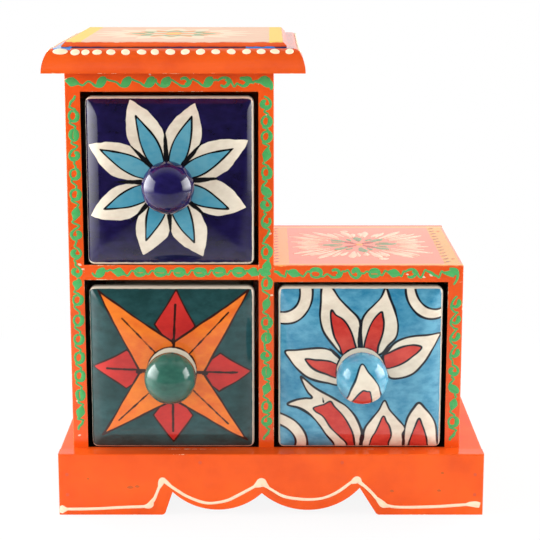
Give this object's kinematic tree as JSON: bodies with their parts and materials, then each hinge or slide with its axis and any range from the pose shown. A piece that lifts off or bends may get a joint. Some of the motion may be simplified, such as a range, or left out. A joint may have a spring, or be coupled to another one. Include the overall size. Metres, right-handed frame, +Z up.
{
  "type": "spice drawer box",
  "caption": "Small stepped wooden chest on a scalloped plinth, with square ceramic drawers that slide out of the front by ball knobs.",
  "frame": {"origin": "centre of the bottom of the whole box, knobs and lid included, on the surface that it stands on", "axes": "+Z up, +Y towards the back, +X to the right of someone facing the drawers"},
  "size_m": [0.2008, 0.1414, 0.2191],
  "materials": {
    "orange_paint": "glossy orange-red hand paint with green vine",
    "lid_paint": "glossy orange-red hand paint with white dots and a blue ledge",
    "back_panel_wood": "thin board, painted orange-red",
    "nail_steel": "plain wire",
    "bright_steel": "bright zinc-plated steel",
    "navy_glaze": "glossy glaze, flower on navy",
    "navy_glaze_knob": "glossy navy glaze",
    "green_glaze": "glossy glaze, star on dark green",
    "green_glaze_knob": "glossy dark green glaze",
    "turquoise_glaze": "glossy glaze, petals on turquoise",
    "turquoise_glaze_knob": "glossy turquoise glaze with a petal"
  },
  "bodies": {
    "root": {"front_apron": "orange_paint", "back_apron": "orange_paint", "left_apron": "orange_paint", "right_apron": "orange_paint", "bottom_board": "orange_paint", "tower_left_side": "orange_paint", "tower_right_side": "orange_paint", "step_right_side": "orange_paint", "tower_shelf": "orange_paint", "tower_top_board": "orange_paint", "step_top_board": "orange_paint", "lid": "lid_paint", "back_panel": "back_panel_wood", "plinth_nails": "nail_steel", "bottom_nails": "nail_steel", "case_nails": "nail_steel", "lid_nails": "nail_steel", "back_panel_tacks": "nail_steel"},
    "upper_drawer": {"upper_drawer_tray": "navy_glaze", "upper_drawer_knob": "navy_glaze_knob", "upper_drawer_knob_stud": "bright_steel", "upper_drawer_knob_washer": "bright_steel", "upper_drawer_knob_nut": "bright_steel"},
    "lower_drawer": {"lower_drawer_tray": "green_glaze", "lower_drawer_knob": "green_glaze_knob", "lower_drawer_knob_stud": "bright_steel", "lower_drawer_knob_washer": "bright_steel", "lower_drawer_knob_nut": "bright_steel"},
    "side_drawer": {"side_drawer_tray": "turquoise_glaze", "side_drawer_knob": "turquoise_glaze_knob", "side_drawer_knob_stud": "bright_steel", "side_drawer_knob_washer": "bright_steel", "side_drawer_knob_nut": "bright_steel"}
  },
  "joints": [
    {"name": "upper_drawer_slide", "type": "slide", "parent": "root", "child": "upper_drawer", "axis": [0, -1, 0], "range_m": [0, 0.085]},
    {"name": "lower_drawer_slide", "type": "slide", "parent": "root", "child": "lower_drawer", "axis": [0, -1, 0], "range_m": [0, 0.085]},
    {"name": "side_drawer_slide", "type": "slide", "parent": "root", "child": "side_drawer", "axis": [0, -1, 0], "range_m": [0, 0.085]}
  ]
}
